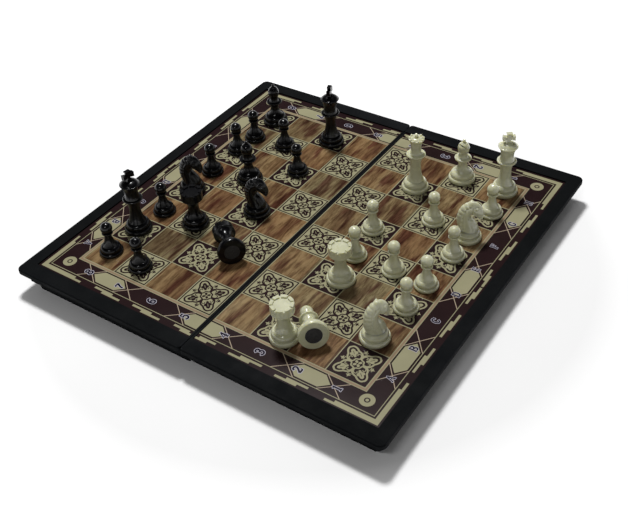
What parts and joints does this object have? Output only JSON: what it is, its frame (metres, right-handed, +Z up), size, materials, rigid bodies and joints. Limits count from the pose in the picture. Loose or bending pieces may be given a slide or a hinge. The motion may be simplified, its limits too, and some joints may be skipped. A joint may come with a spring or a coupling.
{
  "type": "folding magnetic chess board with chessmen",
  "caption": "Folding magnetic chess board of two hinged plastic trays, opened flat, with a printed playing field and turned chessmen standing and lying on it.",
  "frame": {"origin": "middle of the opened board on the surface it lies on, under the fold", "axes": "+Z up, out of the playing side; +Y along the fold; +X across the fold, to the half where the ivory men stand"},
  "size_m": [0.32, 0.32, 0.076],
  "materials": {
    "case_plastic": "satin black moulded plastic",
    "printed_sheet": "thin steel sheet, printed with the playing field under a semi-gloss varnish",
    "pin_steel": "plain drawn wire",
    "ivory_plastic": "polished ivory plastic, slightly translucent",
    "black_plastic": "polished black plastic",
    "magnet": "dull dark ferrite"
  },
  "bodies": {
    "left_half": {"case_left": "case_plastic", "sheet_left": "printed_sheet", "hinge_pin_front": "pin_steel", "hinge_pin_back": "pin_steel"},
    "right_half": {"case_right": "case_plastic", "sheet_right": "printed_sheet"},
    "black_bishop_1": {"black_bishop_1": "black_plastic"},
    "black_bishop_2": {"black_bishop_2": "black_plastic"},
    "black_king_1": {"black_king_1": "black_plastic"},
    "black_knight_1": {"black_knight_1": "black_plastic"},
    "black_knight_2": {"black_knight_2": "black_plastic"},
    "black_pawn_1": {"black_pawn_1": "black_plastic"},
    "black_pawn_2": {"black_pawn_2": "black_plastic"},
    "black_pawn_3": {"black_pawn_3": "black_plastic"},
    "black_pawn_4": {"black_pawn_4": "black_plastic"},
    "black_pawn_5": {"black_pawn_5": "black_plastic"},
    "black_pawn_6": {"black_pawn_6": "black_plastic"},
    "black_pawn_7": {"black_pawn_7": "black_plastic"},
    "black_pawn_8": {"black_pawn_8": "black_plastic"},
    "black_king_2": {"black_king_2": "black_plastic"},
    "black_rook_1": {"black_rook_1": "black_plastic"},
    "black_rook_2": {"black_rook_2": "black_plastic", "black_rook_2_magnet": "magnet"},
    "white_bishop_1": {"white_bishop_1": "ivory_plastic"},
    "white_bishop_2": {"white_bishop_2": "ivory_plastic", "white_bishop_2_magnet": "magnet"},
    "white_king": {"white_king": "ivory_plastic"},
    "white_knight_1": {"white_knight_1": "ivory_plastic"},
    "white_knight_2": {"white_knight_2": "ivory_plastic"},
    "white_pawn_1": {"white_pawn_1": "ivory_plastic"},
    "white_pawn_2": {"white_pawn_2": "ivory_plastic"},
    "white_pawn_3": {"white_pawn_3": "ivory_plastic"},
    "white_pawn_4": {"white_pawn_4": "ivory_plastic"},
    "white_pawn_5": {"white_pawn_5": "ivory_plastic"},
    "white_pawn_6": {"white_pawn_6": "ivory_plastic"},
    "white_pawn_7": {"white_pawn_7": "ivory_plastic"},
    "white_pawn_8": {"white_pawn_8": "ivory_plastic"},
    "white_queen": {"white_queen": "ivory_plastic"},
    "white_rook_1": {"white_rook_1": "ivory_plastic"},
    "white_rook_2": {"white_rook_2": "ivory_plastic"}
  },
  "joints": [
    {"name": "fold", "type": "hinge", "parent": "left_half", "child": "right_half", "pos_m": [0, 0, 0.0022], "axis": [0, 1, 0], "range_deg": [0, 180]},
    {"name": "black_bishop_1_lift", "type": "slide", "parent": "left_half", "child": "black_bishop_1", "axis": [0, 0, 1], "range_m": [0, 0.08]},
    {"name": "black_bishop_2_lift", "type": "slide", "parent": "left_half", "child": "black_bishop_2", "axis": [0, 0, 1], "range_m": [0, 0.08]},
    {"name": "black_king_1_lift", "type": "slide", "parent": "left_half", "child": "black_king_1", "axis": [0, 0, 1], "range_m": [0, 0.08]},
    {"name": "black_knight_1_lift", "type": "slide", "parent": "left_half", "child": "black_knight_1", "axis": [0, 0, 1], "range_m": [0, 0.08]},
    {"name": "black_knight_2_lift", "type": "slide", "parent": "left_half", "child": "black_knight_2", "axis": [0, 0, 1], "range_m": [0, 0.08]},
    {"name": "black_pawn_1_lift", "type": "slide", "parent": "left_half", "child": "black_pawn_1", "axis": [0, 0, 1], "range_m": [0, 0.08]},
    {"name": "black_pawn_2_lift", "type": "slide", "parent": "left_half", "child": "black_pawn_2", "axis": [0, 0, 1], "range_m": [0, 0.08]},
    {"name": "black_pawn_3_lift", "type": "slide", "parent": "left_half", "child": "black_pawn_3", "axis": [0, 0, 1], "range_m": [0, 0.08]},
    {"name": "black_pawn_4_lift", "type": "slide", "parent": "left_half", "child": "black_pawn_4", "axis": [0, 0, 1], "range_m": [0, 0.08]},
    {"name": "black_pawn_5_lift", "type": "slide", "parent": "left_half", "child": "black_pawn_5", "axis": [0, 0, 1], "range_m": [0, 0.08]},
    {"name": "black_pawn_6_lift", "type": "slide", "parent": "left_half", "child": "black_pawn_6", "axis": [0, 0, 1], "range_m": [0, 0.08]},
    {"name": "black_pawn_7_lift", "type": "slide", "parent": "left_half", "child": "black_pawn_7", "axis": [0, 0, 1], "range_m": [0, 0.08]},
    {"name": "black_pawn_8_lift", "type": "slide", "parent": "left_half", "child": "black_pawn_8", "axis": [0, 0, 1], "range_m": [0, 0.08]},
    {"name": "black_king_2_lift", "type": "slide", "parent": "left_half", "child": "black_king_2", "axis": [0, 0, 1], "range_m": [0, 0.08]},
    {"name": "black_rook_1_lift", "type": "slide", "parent": "left_half", "child": "black_rook_1", "axis": [0, 0, 1], "range_m": [0, 0.08]},
    {"name": "black_rook_2_lift", "type": "slide", "parent": "left_half", "child": "black_rook_2", "axis": [0, 0, 1], "range_m": [0, 0.08]},
    {"name": "white_bishop_1_lift", "type": "slide", "parent": "right_half", "child": "white_bishop_1", "axis": [0, 0, 1], "range_m": [0, 0.08]},
    {"name": "white_bishop_2_lift", "type": "slide", "parent": "right_half", "child": "white_bishop_2", "axis": [0, 0, 1], "range_m": [0, 0.08]},
    {"name": "white_king_lift", "type": "slide", "parent": "right_half", "child": "white_king", "axis": [0, 0, 1], "range_m": [0, 0.08]},
    {"name": "white_knight_1_lift", "type": "slide", "parent": "right_half", "child": "white_knight_1", "axis": [0, 0, 1], "range_m": [0, 0.08]},
    {"name": "white_knight_2_lift", "type": "slide", "parent": "right_half", "child": "white_knight_2", "axis": [0, 0, 1], "range_m": [0, 0.08]},
    {"name": "white_pawn_1_lift", "type": "slide", "parent": "right_half", "child": "white_pawn_1", "axis": [0, 0, 1], "range_m": [0, 0.08]},
    {"name": "white_pawn_2_lift", "type": "slide", "parent": "right_half", "child": "white_pawn_2", "axis": [0, 0, 1], "range_m": [0, 0.08]},
    {"name": "white_pawn_3_lift", "type": "slide", "parent": "right_half", "child": "white_pawn_3", "axis": [0, 0, 1], "range_m": [0, 0.08]},
    {"name": "white_pawn_4_lift", "type": "slide", "parent": "right_half", "child": "white_pawn_4", "axis": [0, 0, 1], "range_m": [0, 0.08]},
    {"name": "white_pawn_5_lift", "type": "slide", "parent": "right_half", "child": "white_pawn_5", "axis": [0, 0, 1], "range_m": [0, 0.08]},
    {"name": "white_pawn_6_lift", "type": "slide", "parent": "right_half", "child": "white_pawn_6", "axis": [0, 0, 1], "range_m": [0, 0.08]},
    {"name": "white_pawn_7_lift", "type": "slide", "parent": "right_half", "child": "white_pawn_7", "axis": [0, 0, 1], "range_m": [0, 0.08]},
    {"name": "white_pawn_8_lift", "type": "slide", "parent": "right_half", "child": "white_pawn_8", "axis": [0, 0, 1], "range_m": [0, 0.08]},
    {"name": "white_queen_lift", "type": "slide", "parent": "right_half", "child": "white_queen", "axis": [0, 0, 1], "range_m": [0, 0.08]},
    {"name": "white_rook_1_lift", "type": "slide", "parent": "right_half", "child": "white_rook_1", "axis": [0, 0, 1], "range_m": [0, 0.08]},
    {"name": "white_rook_2_lift", "type": "slide", "parent": "right_half", "child": "white_rook_2", "axis": [0, 0, 1], "range_m": [0, 0.08]}
  ]
}
